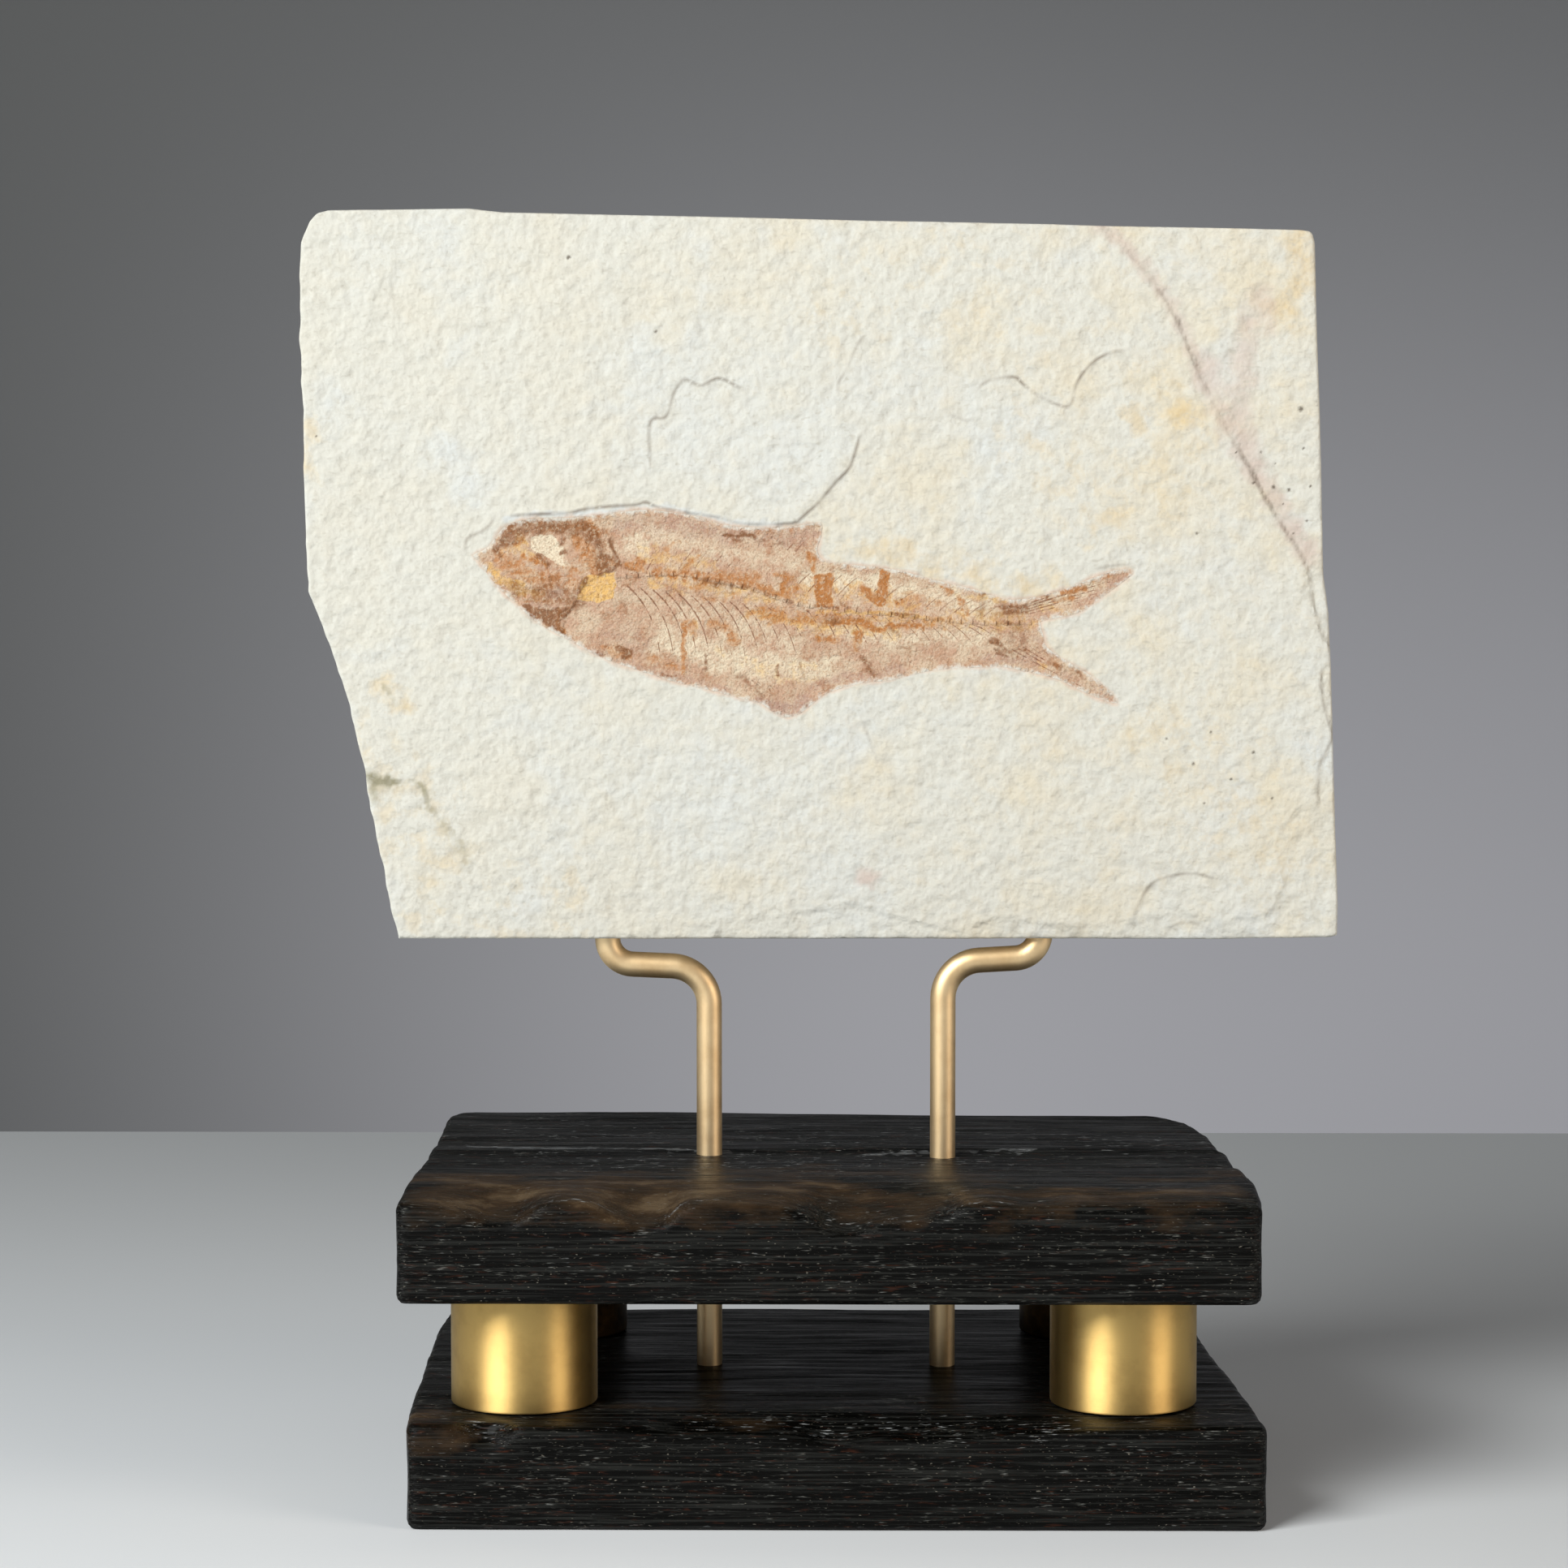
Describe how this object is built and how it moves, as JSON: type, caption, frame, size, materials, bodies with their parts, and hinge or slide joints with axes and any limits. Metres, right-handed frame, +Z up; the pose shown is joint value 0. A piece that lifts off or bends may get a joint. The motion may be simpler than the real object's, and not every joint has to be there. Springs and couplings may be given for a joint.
{
  "type": "fossil fish slab on stand",
  "caption": "Fossil fish in a pale limestone slab, held on bent brass rods above a stand of dark wooden blocks and brass spacers, for display on a shelf or table.",
  "frame": {"origin": "on the surface that the stand rests on, under the middle of the overall box", "axes": "+Z up; the face with the fish looks along -Y; +X to the viewer's right"},
  "size_m": [0.1826, 0.102, 0.2225],
  "materials": {
    "limestone": "split and scraped laminated limestone, cream white, matt, with a hammered surface",
    "fossil_bone": "fossilised bone and skin, pinkish beige with brown, orange and yellow patches, matt",
    "brass_rod": "drawn brass rod, satin",
    "satin_brass": "turned brass cylinder, finely brushed round its side",
    "ebonised_wood": "charred and ebonised open-grained wood, waxed, rubbed brown along the worn front"
  },
  "bodies": {
    "root": {"fossil_slab": "limestone", "fossil_fish": "fossil_bone", "rod_left": "brass_rod", "rod_right": "brass_rod", "upper_block": "ebonised_wood", "lower_block": "ebonised_wood", "spacer_front_left": "satin_brass", "spacer_front_right": "satin_brass", "spacer_rear_left": "satin_brass", "spacer_rear_right": "satin_brass"}
  },
  "joints": []
}
